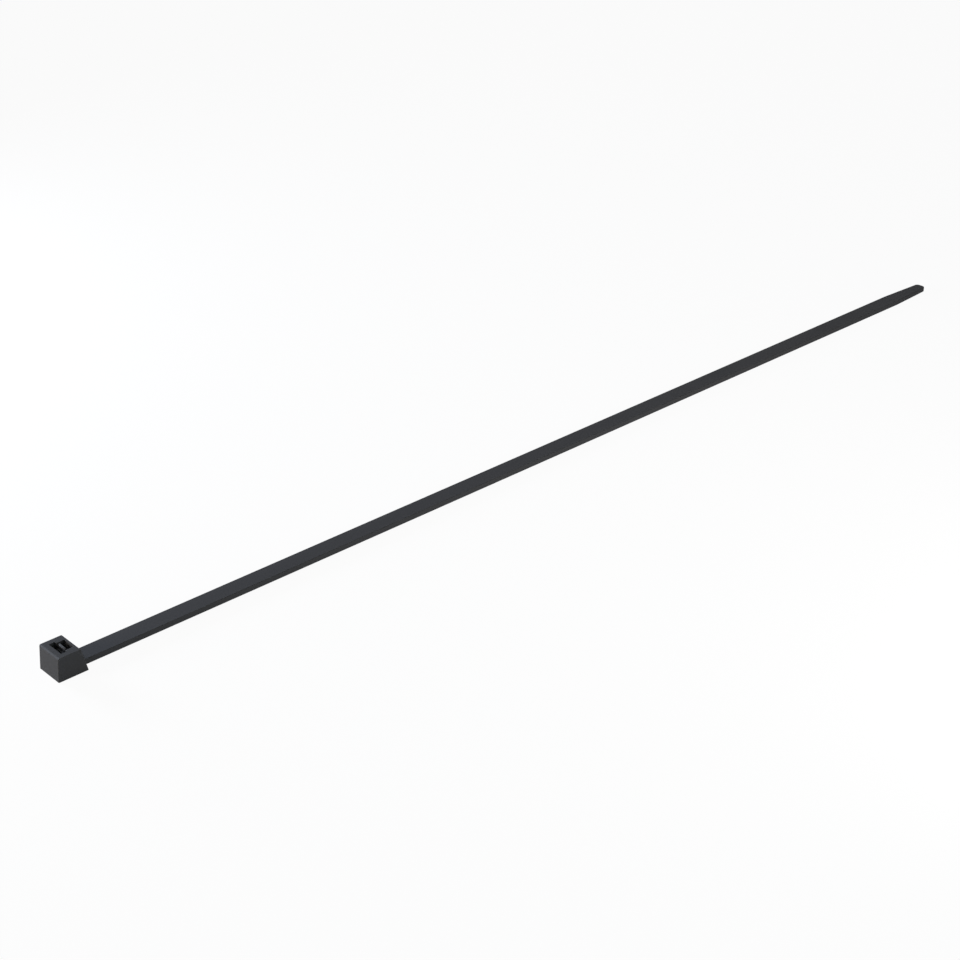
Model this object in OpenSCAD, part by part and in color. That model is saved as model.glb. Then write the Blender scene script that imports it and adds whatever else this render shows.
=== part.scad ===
// A one-piece cable tie as it leaves its mould, lying with its smooth side up and its teeth below.
// It lies on its head's base and on the tip of its tail, as it comes to rest on a bench.
// X runs from the head to the tail, Y across the strap and Z up from the head's base.
// The origin is the middle of the slot that takes the strap, level with the head's base.

/* [Strap] */
// Overall length along the bench, from the foot of the head's front face to the foot of the tip
total_l = 300; // [120:10:400]
// Width of the strap
strap_w = 4.6; // [4.2:0.1:5.4]
// Thickness of the strap over its rails
strap_t = 1.3; // [1.1:0.05:1.6]
// Height of the strap's underside above the head's base, where it leaves the head
strap_lift = 0.5; // [0.2:0.05:0.8]
// Radius of the long edges on the smooth side
edge_r = 0.15; // [0.05:0.05:0.3]

/* [Rack] */
// Distance from one tooth to the next
tooth_pitch = 1.1; // [0.9:0.05:1.5]
// Depth of the valleys between the teeth, from the rails' face
tooth_h = 0.55; // [0.4:0.05:0.7]
// Width of the rail on each side of the teeth
rail_w = 0.7; // [0.5:0.05:0.8]
// How far the crests of the teeth lie within the rails' face
crest_drop = 0.05; // [0.02:0.01:0.1]
// Flat on the crest of each tooth, along the strap
crest_land = 0.15; // [0.05:0.05:0.25]
// How far each locking face leans, from its valley to its crest
lock_lean = 0.08; // [0.02:0.02:0.16]
// Smooth neck between the head and the first tooth
neck_l = 12; // [5:1:25]

/* [Tail] */
// Smooth tail between the last tooth and the taper
tail_l = 19; // [10:1:30]
// Length of the taper that ends the tail
taper_l = 15; // [8:1:20]
// Width that the taper comes down to at the tip
tip_w = 2.8; // [2.4:0.1:3.6]
// Radius of the tip's two corners
tip_r = 1.1; // [0.4:0.1:1.1]
// Distance from one finger groove under the tail to the next
grip_pitch = 1.8; // [1.2:0.1:2.6]
// Radius of a finger groove
grip_r = 0.45; // [0.3:0.05:0.55]
// Depth of a finger groove
grip_depth = 0.2; // [0.1:0.02:0.28]

/* [Head] */
// Height of the head
head_h = 5.6; // [4.8:0.1:7]
// Wall in front of the slot, where it is thinnest
front_wall = 1.5; // [1:0.05:2]
// Wall at each side of the slot
side_wall = 1.35; // [0.9:0.05:1.8]
// Wall behind the pawl's recess, where it is thinnest
rear_wall = 0.6; // [0.4:0.05:1]
// Lean of the head's front face, in degrees
front_lean = 5; // [1:0.5:10]
// Lean of the head's rear face, in degrees
rear_lean = 12.5; // [5:0.5:18]
// Radius of the head's upright corners at the front
front_corner_r = 0.2; // [0.1:0.05:0.6]
// Radius of the head's upright corners at the rear
rear_corner_r = 0.5; // [0.2:0.05:0.8]
// Radius of the head's front top edge
brow_r = 0.5; // [0.2:0.05:0.9]

/* [Slot] */
// Play at each side of a strap in the slot
side_play = 0.05; // [0.04:0.01:0.2]
// Play over the thickness of a strap in the slot
slot_play = 0.1; // [0.06:0.01:0.25]
// Bevel round the slot's mouth, across and down
mouth_bevel = 0.4; // [0.2:0.05:0.6]

/* [Pawl] */
// How far the pawl's teeth reach past the crests of a strap held against the front wall
pawl_bite = 0.3; // [0.15:0.05:0.35]
// Height of the pawl's own teeth
pawl_tooth_h = 0.5; // [0.3:0.05:0.6]
// Thickness of the pawl's free end
pawl_tip_t = 0.45; // [0.35:0.05:0.55]
// Thickness of the hinge at the pawl's root
pawl_root_t = 0.8; // [0.6:0.05:1]
// Plain stretch above the pawl's last tooth
pawl_land = 0.9; // [0.6:0.05:1.3]
// How far the pawl's free end falls towards the slot
pawl_slope = 0.2; // [0.1:0.05:0.4]
// How far the pawl's free end lies below the head's top
pawl_drop = 0.1; // [0.05:0.05:0.2]
// Gap between the pawl and each rail of a strap in the slot
rail_gap = 0.25; // [0.15:0.05:0.4]
// Gap between the pawl and each side of its recess
recess_gap = 0.4; // [0.3:0.05:0.6]
// Length of the recess behind the slot, at the head's top
recess_l = 1.9; // [1.6:0.05:2.6]
// Lean of the recess's back, in degrees
recess_lean = 4; // [0:0.5:6]
// Skin between the strap's root and the floor of the recess
floor_skin = 0.1; // [0.05:0.05:0.3]

/* [Hidden] */
$fn = 48;
nylon_black = [0.2, 0.2, 0.21];
// How far a cutting shape runs past the surface that it opens
past = 1;
// How deep one shape is rooted in another that it grows from
rooted = 0.3;

// The slot, its walls and the head round them
slot_w = strap_w + 2 * side_play;
slot_d = strap_t + slot_play;
slot_back = slot_d / 2;
front_run = head_h * tan(front_lean);
rear_run = head_h * tan(rear_lean);
front_x = -slot_back - front_wall - front_run;
rear_x = slot_back + recess_l + rear_wall + rear_run;
head_w = slot_w + 2 * side_wall;

// The strap's place: it is rooted in the head and falls to the bench at the tip of its tail
strap_root_x = slot_back + recess_l / 2;
strap_run = front_x + total_l - strap_root_x;
strap_fall = atan(strap_lift / strap_run);

// Along the strap itself, measured from its root; heights are measured from its underside
strap_l = strap_run / cos(strap_fall);
taper_from = strap_l - taper_l;

// The rack between the rails
rack_w = strap_w - 2 * rail_w;
rack_from = rear_x - strap_root_x + neck_l;
rack_to = taper_from - tail_l;
tooth_count = floor((rack_to - rack_from) / tooth_pitch);
first_tooth = rack_to - tooth_count * tooth_pitch;

// The finger grooves under the tail
grip_margin = 1.5;
grip_count = floor((tail_l - 2 * grip_margin) / grip_pitch) + 1;
first_grip = taper_from - tail_l / 2 - (grip_count - 1) * grip_pitch / 2;

// The pawl and its recess; a pawl face is placed by its distance behind the slot's back
pawl_w = rack_w - 2 * rail_gap;
recess_w = pawl_w + 2 * recess_gap;
floor_z = strap_lift + strap_t + floor_skin;
pawl_top = head_h - pawl_drop;
pawl_crest = -slot_play - pawl_bite;
pawl_valley = pawl_crest + pawl_tooth_h;
pawl_teeth = floor((pawl_top - pawl_land - floor_z) / tooth_pitch + 0.001);
pawl_first_z = pawl_top - pawl_land - pawl_teeth * tooth_pitch;

// Lays an outline drawn in X and Z across the strap, with its middle on the centre line
module across(width) {
    rotate([90, 0, 0])
        linear_extrude(height = width, center = true)
            children();
}

// Half-width of the strap's taper where it is a distance back from the tip
function taper_half(back) = (tip_w + (strap_w - tip_w) * back / taper_l) / 2;

// The head seen from the side: leaning front and back, and a round front top edge
module head_side() {
    round_z = head_h - brow_r;
    round_x = front_x + round_z * tan(front_lean) + brow_r / cos(front_lean);
    polygon([
        [front_x, 0],
        [rear_x, 0],
        [rear_x - rear_run, head_h],
        [round_x, head_h],
        [round_x, round_z],
        [round_x - brow_r * cos(front_lean), round_z + brow_r * sin(front_lean)]
    ]);
    translate([round_x, round_z])
        circle(brow_r);
}

// A bar as wide as the head with two round corners at its near end, stood up and leaned back
module round_cornered(lean, radius) {
    reach = 2 * (rear_x - front_x);
    half_w = head_w / 2;
    rotate([0, lean, 0])
        translate([0, 0, -head_h])
            linear_extrude(height = 3 * head_h) {
                translate([radius, -half_w])
                    square([reach, head_w]);
                translate([0, radius - half_w])
                    square([reach, head_w - 2 * radius]);
                for (side = [-1, 1])
                    translate([radius, side * (half_w - radius)])
                        circle(radius);
            }
}

// The head's outer form, before anything is cut into it
module head_block() {
    intersection() {
        across(head_w + 2 * past)
            head_side();
        translate([front_x, 0, 0])
            round_cornered(front_lean, front_corner_r);
        translate([rear_x, 0, 0])
            mirror([1, 0, 0])
                round_cornered(rear_lean, rear_corner_r);
    }
}

// The opening that a strap is threaded through, bevelled round its mouth in the base
module slot_cut() {
    translate([-slot_back, -slot_w / 2, -past])
        cube([slot_d, slot_w, head_h + 2 * past]);
    intersection() {
        across(slot_w + 4 * mouth_bevel)
            mouth_side(slot_d / 2);
        rotate([0, 0, 90])
            across(slot_w + 4 * mouth_bevel)
                mouth_side(slot_w / 2);
    }
}

// The mouth's bevel seen from one side, flaring out below the base
module mouth_side(half) {
    polygon([
        [-half - mouth_bevel - past, -past],
        [half + mouth_bevel + past, -past],
        [half, mouth_bevel],
        [-half, mouth_bevel]
    ]);
}

// The room behind the slot that the pawl swings back into, open at the head's top
module recess_cut() {
    top_z = head_h + past;
    foot = recess_l - (head_h - floor_z) * tan(recess_lean);
    across(recess_w)
        polygon([
            [slot_back - rooted, floor_z],
            [slot_back + foot, floor_z],
            [slot_back + recess_l + past * tan(recess_lean), top_z],
            [slot_back - rooted, top_z]
        ]);
}

// The springy tongue whose teeth catch the strap, hinged above the slot's mouth and free at its top
module pawl() {
    tooth_edges = [
        for (tooth = [1 : pawl_teeth])
            let (crest_height = pawl_first_z + tooth * tooth_pitch)
                each [[pawl_crest, crest_height], [pawl_valley, crest_height]]
    ];
    tip_back = pawl_valley + pawl_tip_t;
    translate([slot_back, 0, 0])
        across(pawl_w)
            polygon(concat(
                [[0, floor_z - rooted], [0, pawl_first_z]],
                tooth_edges,
                [[pawl_valley, pawl_top - pawl_slope], [tip_back, pawl_top]],
                [[pawl_root_t, floor_z - rooted]]
            ));
}

// The strap seen from above, from its root: straight, then a taper to a tip with round corners
module strap_plan() {
    lean = atan((strap_w - tip_w) / 2 / taper_l);
    round_x = strap_l - tip_r;
    round_y = taper_half(tip_r) - tip_r / cos(lean);
    far_x = round_x + tip_r * sin(lean);
    far_y = round_y + tip_r * cos(lean);
    half_w = strap_w / 2;
    polygon([
        [0, -half_w],
        [taper_from, -half_w],
        [far_x, -far_y],
        [round_x, -round_y],
        [strap_l, -round_y],
        [strap_l, round_y],
        [round_x, round_y],
        [far_x, far_y],
        [taper_from, half_w],
        [0, half_w]
    ]);
    for (side = [-1, 1])
        translate([round_x, side * round_y])
            circle(tip_r);
}

// The strap's section, with its two smooth-side edges rounded
module strap_section() {
    translate([-strap_w / 2, 0])
        square([strap_w, strap_t - edge_r]);
    translate([edge_r - strap_w / 2, 0])
        square([strap_w - 2 * edge_r, strap_t]);
    for (side = [-1, 1])
        translate([side * (strap_w / 2 - edge_r), strap_t - edge_r])
            circle(edge_r);
}

// Everything that is cut away between the rails to leave the teeth standing
// Each tooth has a steep locking face towards the head and a long ramp towards the tail
module tooth_cut() {
    tooth_edges = [
        for (tooth = [0 : tooth_count - 1])
            let (foot = first_tooth + tooth * tooth_pitch, crest = foot + lock_lean)
                each [[foot, tooth_h], [crest, crest_drop], [crest + crest_land, crest_drop]]
    ];
    first_ramp = first_tooth - tooth_pitch + lock_lean + crest_land;
    across(rack_w)
        polygon(concat(
            [[first_ramp, -past], [first_ramp, crest_drop]],
            tooth_edges,
            [[rack_to, tooth_h], [rack_to + lock_lean, crest_drop], [rack_to + lock_lean, -past]]
        ));
}

// Finger grooves under the tail, for pulling the strap through
module grip_cut() {
    for (groove = [0 : grip_count - 1])
        translate([first_grip + groove * grip_pitch, 0, grip_depth - grip_r])
            rotate([90, 0, 0])
                cylinder(r = grip_r, h = strap_w + 2 * past, center = true);
}

// The whole strap, from its root inside the head to its tip on the bench
module strap() {
    translate([strap_root_x, 0, strap_lift])
        rotate([0, strap_fall, 0])
            difference() {
                intersection() {
                    linear_extrude(height = strap_t + past)
                        strap_plan();
                    rotate([90, 0, 90])
                        linear_extrude(height = strap_l + past)
                            strap_section();
                }
                tooth_cut();
                grip_cut();
            }
}

// The tie, moulded in one piece
module cable_tie() {
    color(nylon_black) {
        difference() {
            union() {
                head_block();
                strap();
            }
            slot_cut();
            recess_cut();
        }
        pawl();
    }
}

cable_tie();
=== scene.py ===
# The looks of a black nylon cable tie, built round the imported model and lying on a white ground.
# Lengths are written in millimetres and turned into metres as each shape is made.
import math

import bmesh
import bpy
from mathutils import Matrix, Vector


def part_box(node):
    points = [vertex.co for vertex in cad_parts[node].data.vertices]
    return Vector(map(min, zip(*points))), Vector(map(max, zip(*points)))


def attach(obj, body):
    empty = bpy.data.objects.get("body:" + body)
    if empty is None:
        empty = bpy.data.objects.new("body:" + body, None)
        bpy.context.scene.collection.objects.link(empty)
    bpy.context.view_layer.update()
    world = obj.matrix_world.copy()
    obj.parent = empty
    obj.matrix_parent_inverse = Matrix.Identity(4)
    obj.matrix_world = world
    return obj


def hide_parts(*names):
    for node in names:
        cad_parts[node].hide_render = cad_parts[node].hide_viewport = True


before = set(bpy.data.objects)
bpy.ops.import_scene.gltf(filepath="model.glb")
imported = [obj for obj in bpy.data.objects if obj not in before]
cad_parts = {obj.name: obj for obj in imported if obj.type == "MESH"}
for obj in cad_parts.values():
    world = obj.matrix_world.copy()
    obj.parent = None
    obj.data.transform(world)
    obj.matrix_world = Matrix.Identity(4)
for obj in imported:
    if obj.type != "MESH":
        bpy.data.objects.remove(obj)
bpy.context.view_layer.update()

MM = 0.001
tie_low, tie_high = (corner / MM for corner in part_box("cable_tie"))

# Head: its base runs from foot to heel, and its faces lean inwards as they rise
foot_x = tie_low.x
heel_x = 4.442
head_w = tie_high.y - tie_low.y
head_h = tie_high.z
front_lean = math.radians(5)
rear_lean = math.radians(12.5)
front_corner_r = 0.2
rear_corner_r = 0.2
brow_r = 0.5
rear_top_r = 0.3
moulded_edge_r = 0.08

# Slot for the strap, with its middle at the origin, and the recess behind it
slot_d = 1.4
slot_w = 4.7
mouth_bevel = 0.4
recess_l = 1.9
recess_w = 3.5
recess_lean = math.radians(4)
recess_floor = 1.9
recess_fillet = 0.12
rim_r = 0.04

# Pawl: faces are placed by their distance behind the slot's back
pawl_w = 2.5
pawl_top = 5.55
pawl_crest = -0.4
pawl_valley = 0.1
pawl_tip = 0.5
pawl_foot = 0.05
pawl_root = 0.8
pawl_pitch = 1.1
pawl_teeth = 2
pawl_first_z = 2.4
pawl_slope = 0.16
pawl_edge_r = 0.05

# Strap: measured along itself from its root, and up from its underside
strap_root = Vector((1.65, 0, 0.5))
strap_tip_x = tie_high.x
strap_w = 4.6
strap_t = 1.3
strap_edge_r = 0.15
rail_edge_r = 0.08
taper_l = 15
tip_w = 3
tip_r = 1.1
tail_l = 19

# Rack under the strap, between its rails
rack_w = 3.2
tooth_pitch = 1.1
tooth_h = 0.55
crest_drop = 0.05
crest_land = 0.15
lock_lean = 0.08
root_r = 0.06
neck_l = 12

# Finger grooves under the tail
grip_pitch = 1.8
grip_r = 0.45
grip_depth = 0.2
grip_count = 9

# How far a cutting shape runs past the surface that it opens, and how deep a shape is rooted
past = 1
rooted = 0.3

# Points nearer to each other than this are one point
sliver = 0.001

# How many steps a rounding is made in, and the angle from which an edge is drawn sharp
block_steps = 6
rim_steps = 5
pawl_steps = 3
strap_steps = 5
rail_steps = 3
tip_steps = 10
groove_sides = 48
crease_angle = math.radians(32)

strap_run = strap_tip_x - strap_root.x
strap_fall = math.atan2(strap_root.z, strap_run)
strap_l = strap_run / math.cos(strap_fall)
taper_from = strap_l - taper_l
rack_to = taper_from - tail_l
rack_from = heel_x - strap_root.x + neck_l
tooth_count = int((rack_to - rack_from) / tooth_pitch)
first_tooth = rack_to - tooth_count * tooth_pitch
slot_back = slot_d / 2

# Nylon: its two tones, how many features its patterns have in a metre, and how they show
dark_nylon = (0.039, 0.0395, 0.0425, 1)
pale_nylon = (0.047, 0.0475, 0.0505, 1)
tone_contrast = 1.6
grain_scale = 7000.0
grain_break_up = 0.6
flow_scale = (60, 700, 700)
flow_detail = 4.0
patch_scale = 90.0
fine_detail = 3.0
noise_middle = 0.5
roughness = 0.64
roughness_in_patches = 0.16
roughness_in_grain = 0.14
ripple_h = 0.02
ripple_share = 0.35
grain_h = 0.006
grain_share = 0.5
nylon_specular = 0.08

# White ground: how far it reaches, its tone for the light on the tie, and how white it is seen
ground_reach = 3000
ground_tone = (0.9, 0.9, 0.9, 1)
ground_white = 0.95

# Soft square lamps: name, place, what it faces, side, power in watts, colour. The two strongest
# stand low, in front of the head and on its far side, and three weak ones light the near side.
on_head = (0, 0, 3)
lamps = [
    ("left_close", (-300, 120, 80), on_head, 130, 0.75, (1.0, 0.89, 0.73)),
    ("behind_head", (-40, 300, 65), on_head, 120, 2.45, (0.73, 0.83, 1.0)),
    ("near_mid", (180, -260, 60), (180, 0, 1), 150, 0.1, (1.0, 0.9, 1.0)),
    ("near_close", (170, -170, 45), (170, 0, 1), 120, 0.2, (1.0, 0.98, 0.92)),
    ("near_head", (30, -300, 60), (30, 0, 1), 150, 0.125, (0.8, 1.0, 0.95)),
]
light_all_round = 0.12
white = (1, 1, 1, 1)
full_white = 1.0

# Camera, at the photograph's place
view_azimuth = math.radians(-42.716)
view_elevation = math.radians(28.543)
view_distance = 454.63
aim_at = Vector((117.285, 0, 1.311))
lens_mm = 70.304
sensor_mm = 36
nearest_seen = 10

# A Mix node has its number, vector and colour sockets under the same names, so colours go by place
MIX_FACTOR, MIX_A, MIX_B, MIX_COLOUR = 0, 6, 7, 2


class Signal:
    """A number or colour inside a finish: arithmetic on it adds Math nodes to that finish."""

    def __init__(self, finish, socket):
        self.finish = finish
        self.socket = socket

    def math(self, operation, first, second):
        return self.finish.node("ShaderNodeMath", {"operation": operation}, {0: first, 1: second})

    def __add__(self, other):
        return self.math("ADD", self, other)

    def __radd__(self, other):
        return self.math("ADD", other, self)

    def __sub__(self, other):
        return self.math("SUBTRACT", self, other)

    def __rsub__(self, other):
        return self.math("SUBTRACT", other, self)

    def __mul__(self, other):
        return self.math("MULTIPLY", self, other)

    def __rmul__(self, other):
        return self.math("MULTIPLY", other, self)


class Finish:
    """The nodes of a material, or of the world round the tie."""

    def __init__(self, owner):
        self.owner = owner
        owner.use_nodes = True
        self.tree = owner.node_tree
        self.tree.nodes.clear()

    def node(self, kind, settings=None, inputs=None, output=0):
        """Adds a node, sets it, fills or links its sockets, and gives one of its outputs."""
        made = self.tree.nodes.new(kind)
        for name, value in (settings or {}).items():
            setattr(made, name, value)
        for socket, value in (inputs or {}).items():
            if isinstance(value, Signal):
                self.tree.links.new(value.socket, made.inputs[socket])
            else:
                made.inputs[socket].default_value = value
        return Signal(self, made.outputs[output]) if made.outputs else None

    def seen(self):
        """At least 1 where the camera, gloss or glass looks straight at it, and 0 elsewhere."""
        camera = self.node("ShaderNodeLightPath", output="Is Camera Ray")
        gloss = self.node("ShaderNodeLightPath", output="Is Glossy Ray")
        glass = self.node("ShaderNodeLightPath", output="Is Transmission Ray")
        return camera + gloss + glass

    def surface(self, shader, output="ShaderNodeOutputMaterial"):
        """Sends a shader to the surface, and gives the finished material or world."""
        self.node(output, inputs={"Surface": shader})
        return self.owner


def nylon_finish():
    """Black nylon from a satin mould: fine grain, faint flow along the strap, uneven gloss."""
    finish = Finish(bpy.data.materials.new("black_nylon"))
    place = finish.node("ShaderNodeTexCoord", output="Object")
    along = finish.node("ShaderNodeMapping", inputs={"Vector": place, "Scale": flow_scale})
    grain = finish.node(
        "ShaderNodeTexNoise",
        inputs={
            "Vector": place,
            "Scale": grain_scale,
            "Detail": fine_detail,
            "Roughness": grain_break_up,
        },
    )
    flow = finish.node(
        "ShaderNodeTexNoise",
        inputs={"Vector": along, "Scale": 1.0, "Detail": flow_detail},
    )
    patches = finish.node(
        "ShaderNodeTexNoise",
        inputs={"Vector": place, "Scale": patch_scale, "Detail": fine_detail},
    )
    both = flow * 0.5 + patches * 0.5
    tone = (both - noise_middle) * tone_contrast + noise_middle
    colour = finish.node(
        "ShaderNodeMix",
        {"data_type": "RGBA", "clamp_factor": True},
        {MIX_FACTOR: tone, MIX_A: dark_nylon, MIX_B: pale_nylon},
        output=MIX_COLOUR,
    )
    uneven = (patches - noise_middle) * roughness_in_patches
    uneven += (grain - noise_middle) * roughness_in_grain
    ripple = finish.node(
        "ShaderNodeBump",
        inputs={"Strength": ripple_share, "Distance": ripple_h * MM, "Height": flow},
    )
    relief = finish.node(
        "ShaderNodeBump",
        inputs={
            "Strength": grain_share,
            "Distance": grain_h * MM,
            "Height": grain,
            "Normal": ripple,
        },
    )
    plastic = finish.node(
        "ShaderNodeBsdfPrincipled",
        inputs={
            "Base Color": colour,
            "Roughness": roughness + uneven,
            "Normal": relief,
            "Specular IOR Level": nylon_specular,
        },
    )
    return finish.surface(plastic)


def ground_finish():
    """White ground that keeps the tie's shadow and throws back little light."""
    finish = Finish(bpy.data.materials.new("white_ground"))
    matt = finish.node("ShaderNodeBsdfDiffuse", inputs={"Color": ground_tone})
    glow = finish.node("ShaderNodeEmission", inputs={"Color": white, "Strength": full_white})
    share = finish.seen() * ground_white
    return finish.surface(finish.node("ShaderNodeMixShader", inputs={0: share, 1: matt, 2: glow}))


def studio_world():
    """Dim light from all round, which is seen as plain white past the ground's edge."""
    finish = Finish(bpy.data.worlds.new("studio"))
    level = finish.node(
        "ShaderNodeMix",
        inputs={"Factor": finish.seen(), "A": light_all_round, "B": full_white},
        output="Result",
    )
    sky = finish.node("ShaderNodeBackground", inputs={"Color": white, "Strength": level})
    return finish.surface(sky, "ShaderNodeOutputWorld")


def loops_between(bm, rings):
    """A closed skin through rings of points, each ring bridged to the next and both ends capped."""
    edge_rings = []
    for ring in rings:
        corners = [bm.verts.new(Vector(point) * MM) for point in ring]
        edge_rings.append([bm.edges.new(pair) for pair in zip(corners, corners[1:] + corners[:1])])
    for lower, upper in zip(edge_rings, edge_rings[1:]):
        bmesh.ops.bridge_loops(bm, edges=lower + upper)
    bmesh.ops.holes_fill(bm, edges=edge_rings[0] + edge_rings[-1], sides=0)
    bmesh.ops.recalc_face_normals(bm, faces=bm.faces)


def solid_from(bm, name):
    """Turns a bmesh into an object with that name."""
    mesh = bpy.data.meshes.new(name)
    bm.to_mesh(mesh)
    bm.free()
    made = bpy.data.objects.new(name, mesh)
    bpy.context.scene.collection.objects.link(made)
    return made


def push_out(bm, outline, push):
    """Draws an outline as a face and pushes it out to a closed solid."""
    face = bm.faces.new([bm.verts.new(Vector(point) * MM) for point in outline])
    pushed = bmesh.ops.extrude_face_region(bm, geom=[face])["geom"]
    moved = [item for item in pushed if isinstance(item, bmesh.types.BMVert)]
    bmesh.ops.translate(bm, verts=moved, vec=Vector(push) * MM)
    bmesh.ops.recalc_face_normals(bm, faces=bm.faces)


def prism(name, outline, width):
    """A solid of an outline in X and Z, as wide as given across the strap's centre line."""
    bm = bmesh.new()
    push_out(bm, [(x, -width / 2, z) for x, z in outline], (0, width, 0))
    return solid_from(bm, name)


def arc(centre, radius, start, end, steps):
    """Points of an arc, from one angle in degrees to another."""
    angles = [math.radians(start + (end - start) * step / steps) for step in range(steps + 1)]
    return [(centre[0] + radius * math.cos(a), centre[1] + radius * math.sin(a)) for a in angles]


def flare(top, radius):
    """Height and outward growth of a rim's rounding, from its wall up to the face that it opens."""
    turn = arc((radius, top - radius), radius, 180, 90, rim_steps)
    return [(z, grow) for grow, z in turn]


def head_block():
    """The head before its openings: a leaning block with a round brow and upright corners."""
    bm = bmesh.new()
    bmesh.ops.create_cube(bm, size=1)
    for corner in bm.verts:
        rise = corner.co.z + 0.5
        front = foot_x + head_h * math.tan(front_lean) * rise
        rear = heel_x - head_h * math.tan(rear_lean) * rise
        x = front if corner.co.x < 0 else rear
        corner.co = Vector((x, math.copysign(head_w / 2, corner.co.y), head_h * rise)) * MM
    weights = bm.edges.layers.float.new("bevel_weight_edge")
    for edge in bm.edges:
        run = edge.verts[0].co - edge.verts[1].co
        middle = (edge.verts[0].co + edge.verts[1].co) / 2
        if abs(run.z) > head_h * MM / 2:
            radius = front_corner_r if middle.x < 0 else rear_corner_r
        elif middle.z < head_h * MM / 2:
            radius = 0
        elif abs(run.y) > 0:
            radius = brow_r if middle.x < 0 else rear_top_r
        else:
            radius = moulded_edge_r
        edge[weights] = radius / brow_r
    block = solid_from(bm, "head_block")
    rounding = block.modifiers.new("rounding", "BEVEL")
    rounding.limit_method = "WEIGHT"
    rounding.width = brow_r * MM
    rounding.segments = block_steps
    rounding.use_clamp_overlap = False
    return block


def slot_core():
    """What the slot takes out of the head: straight, with a bevelled mouth and a softened rim."""
    heights = [(-past, mouth_bevel + past), (mouth_bevel, 0)]
    heights += flare(head_h, rim_r) + [(head_h + past, rim_r)]
    rings = []
    for z, grow in heights:
        x, y = slot_back + grow, slot_w / 2 + grow
        rings.append([(-x, -y, z), (x, -y, z), (x, y, z), (-x, y, z)])
    bm = bmesh.new()
    loops_between(bm, rings)
    return solid_from(bm, "slot_core")


def recess_core():
    """What the pawl's recess takes out of the head, with a fillet round its floor."""
    centre = (-recess_fillet, recess_floor + recess_fillet)
    fillet = arc(centre, recess_fillet, -90, 0, rim_steps)
    heights = [(z, grow) for grow, z in fillet] + flare(head_h, rim_r) + [(head_h + past, rim_r)]
    rings = []
    for z, grow in heights:
        front = slot_back - rooted
        back = slot_back + recess_l - (head_h - z) * math.tan(recess_lean) + grow
        y = recess_w / 2 + grow
        rings.append([(front, -y, z), (back, -y, z), (back, y, z), (front, y, z)])
    bm = bmesh.new()
    loops_between(bm, rings)
    return solid_from(bm, "recess_core")


def pawl_tongue():
    """The springy tongue whose teeth catch the strap."""
    outline = [(pawl_foot, recess_floor - rooted), (0, recess_floor), (0, pawl_first_z)]
    for tooth in range(pawl_teeth):
        crest = pawl_first_z + pawl_pitch * (tooth + 1)
        outline += [(pawl_crest, crest), (pawl_valley, crest)]
    outline += [(pawl_valley, pawl_top - pawl_slope), (pawl_tip, pawl_top)]
    outline += [(pawl_root, recess_floor - rooted)]
    tongue = prism("pawl_tongue", [(slot_back + x, z) for x, z in outline], pawl_w)
    softened = tongue.modifiers.new("softened", "BEVEL")
    softened.width = pawl_edge_r * MM
    softened.segments = pawl_steps
    softened.limit_method = "ANGLE"
    softened.use_clamp_overlap = False
    return tongue


def strap_blank():
    """The strap before its teeth and grooves are cut: straight, tapered, with soft long edges."""
    lean = math.atan2((strap_w - tip_w) / 2, taper_l)
    round_x = strap_l - tip_r
    round_y = (tip_w + (strap_w - tip_w) * tip_r / taper_l) / 2 - tip_r / math.cos(lean)
    side = [(0, strap_w / 2), (taper_from, strap_w / 2)]
    side += arc((round_x, round_y), tip_r, 90 - math.degrees(lean), 0, tip_steps)
    bm = bmesh.new()
    outline = [(x, -y, 0) for x, y in side] + [(x, y, 0) for x, y in reversed(side)]
    push_out(bm, outline, (0, 0, strap_t))
    soft_edges = ((strap_t, strap_edge_r, strap_steps), (0, rail_edge_r, rail_steps))
    for level, radius, steps in soft_edges:
        long_edges = [
            edge
            for edge in bm.edges
            if all(abs(end.co.z - level * MM) < sliver * MM for end in edge.verts)
            and any(end.co.x > sliver * MM for end in edge.verts)
        ]
        bmesh.ops.bevel(
            bm,
            geom=long_edges,
            offset=radius * MM,
            offset_type="OFFSET",
            segments=steps,
            profile=0.5,
            affect="EDGES",
            material=-1,
            clamp_overlap=False,
        )
    return solid_from(bm, "strap_blank")


def rack_core():
    """What is cut out between the rails: for each tooth a ramp, and a steep face to the head."""
    ramp_from = first_tooth - tooth_pitch + lock_lean + crest_land
    outline = [(ramp_from, -past), (ramp_from, crest_drop)]
    for tooth in range(tooth_count):
        root = first_tooth + tooth * tooth_pitch
        crest = root + lock_lean
        # Three points take the place of the root's sharp corner
        outline += [
            (root - 2 * root_r, tooth_h - root_r),
            (root - root_r / 2, tooth_h - root_r / 4),
            (root + lock_lean / 4, tooth_h - root_r),
            (crest, crest_drop),
            (crest + crest_land, crest_drop),
        ]
    outline += [(rack_to, tooth_h), (rack_to + lock_lean, crest_drop), (rack_to + lock_lean, -past)]
    return prism("rack_core", outline, rack_w)


def grip_cores():
    """The finger grooves under the tail, as wide as the rack."""
    first = taper_from - tail_l / 2 - (grip_count - 1) * grip_pitch / 2
    across = Matrix.Rotation(math.radians(90), 4, "X")
    bm = bmesh.new()
    for groove in range(grip_count):
        middle = Vector((first + groove * grip_pitch, 0, grip_depth - grip_r))
        bmesh.ops.create_cone(
            bm,
            cap_ends=True,
            segments=groove_sides,
            radius1=grip_r * MM,
            radius2=grip_r * MM,
            depth=rack_w * MM,
            matrix=Matrix.Translation(middle * MM) @ across,
        )
    return solid_from(bm, "grip_cores")


def combine(body, operation, tools):
    """Adds to a body, or takes from it, each of the tools in turn."""
    for tool in tools:
        step = body.modifiers.new(operation.lower(), "BOOLEAN")
        step.operation = operation
        step.solver = "MANIFOLD"
        step.object = tool


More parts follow.
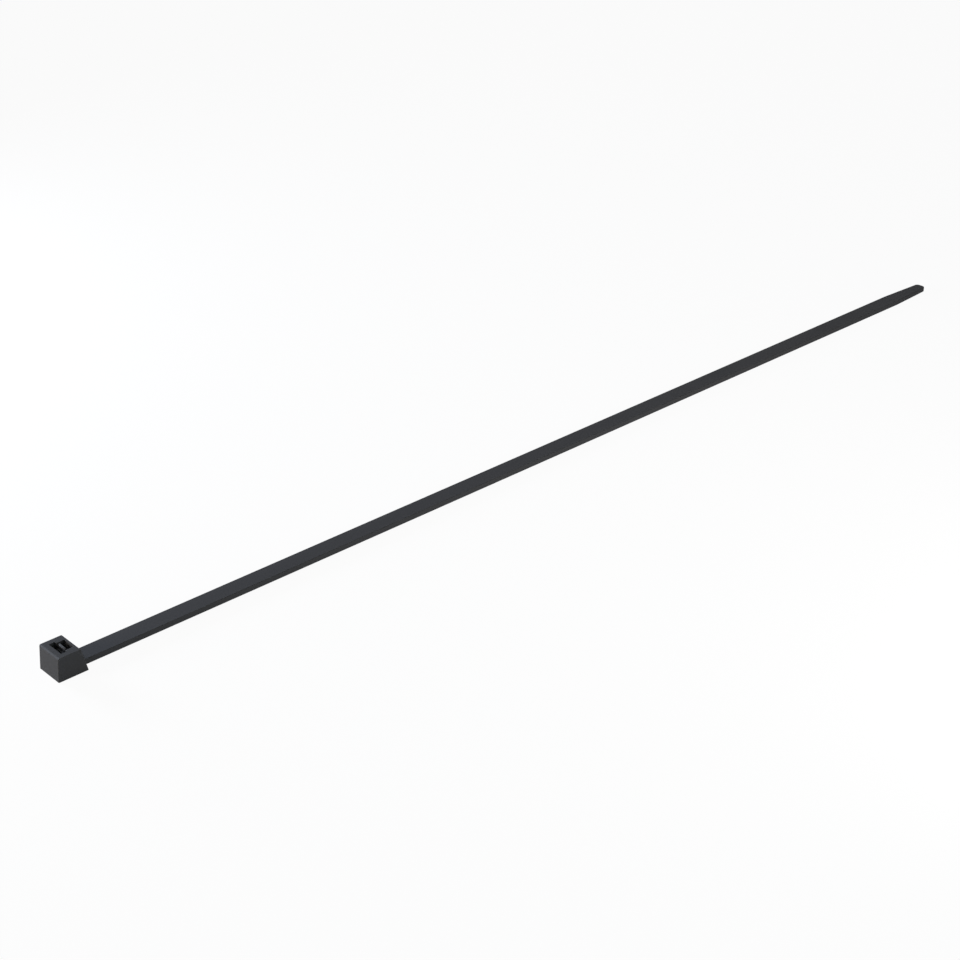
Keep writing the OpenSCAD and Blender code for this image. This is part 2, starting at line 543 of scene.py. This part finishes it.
def settle(body, name, tools):
    """Replaces a body and its modifiers by one mesh without slivers, and clears its tools away."""
    bpy.context.view_layer.update()
    worked = body.evaluated_get(bpy.context.evaluated_depsgraph_get())
    finished = bpy.data.meshes.new_from_object(worked)
    bm = bmesh.new()
    bm.from_mesh(finished)
    bmesh.ops.remove_doubles(bm, verts=bm.verts, dist=sliver * MM)
    bmesh.ops.dissolve_degenerate(bm, edges=bm.edges, dist=sliver * MM)
    bm.to_mesh(finished)
    bm.free()
    body.modifiers.clear()
    body.data = finished
    body.name = name
    finished.name = name
    for tool in tools:
        bpy.data.objects.remove(tool)


def strap():
    """The whole strap, laid from its root in the head down to the ground at its tip."""
    blank = strap_blank()
    cores = [rack_core(), grip_cores()]
    combine(blank, "DIFFERENCE", cores)
    settle(blank, "strap", cores)
    fall = Matrix.Rotation(strap_fall, 4, "Y")
    blank.data.transform(Matrix.Translation(strap_root * MM) @ fall)
    return blank


def moulding():
    """The tie in one piece: head, pawl and strap."""
    body = head_block()
    cores = [slot_core(), recess_core()]
    grown = [pawl_tongue(), strap()]
    combine(body, "DIFFERENCE", cores)
    combine(body, "UNION", grown)
    settle(body, "tie_moulding", cores + grown)
    mesh = body.data
    mesh.shade_smooth()
    mesh.set_sharp_from_angle(angle=crease_angle)
    mesh.materials.clear()
    mesh.materials.append(nylon_finish())
    even = body.modifiers.new("even_shading", "WEIGHTED_NORMAL")
    even.keep_sharp = True
    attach(body, "root")
    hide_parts("cable_tie")


def ground():
    """The white ground that the tie lies on."""
    bm = bmesh.new()
    bmesh.ops.create_grid(bm, x_segments=1, y_segments=1, size=ground_reach * MM)
    plane = solid_from(bm, "ground")
    plane.data.materials.append(ground_finish())


def area_lamp(name, place, faces, side, power, colour):
    """A square soft light at a place, facing a point."""
    light = bpy.data.lights.new(name, "AREA")
    light.shape = "SQUARE"
    light.size = side * MM
    light.energy = power
    light.color = colour
    made = bpy.data.objects.new(name, light)
    made.location = Vector(place) * MM
    made.rotation_mode = "QUATERNION"
    made.rotation_quaternion = (Vector(faces) - Vector(place)).to_track_quat("-Z", "Y")
    bpy.context.scene.collection.objects.link(made)


def photograph():
    """The camera, where the photograph was taken from."""
    camera = bpy.data.cameras.new("camera")
    camera.lens = lens_mm
    camera.sensor_width = sensor_mm
    camera.clip_start = nearest_seen * MM
    made = bpy.data.objects.new("camera", camera)
    back = Vector(
        (
            math.sin(view_azimuth) * math.cos(view_elevation),
            -math.cos(view_azimuth) * math.cos(view_elevation),
            math.sin(view_elevation),
        )
    )
    made.location = (aim_at + back * view_distance) * MM
    made.rotation_mode = "QUATERNION"
    made.rotation_quaternion = (-back).to_track_quat("-Z", "Y")
    bpy.context.scene.collection.objects.link(made)
    bpy.context.scene.camera = made


photograph()
moulding()
ground()
for lamp in lamps:
    area_lamp(*lamp)
bpy.context.scene.world = studio_world()
bpy.context.scene.view_settings.view_transform = "Standard"
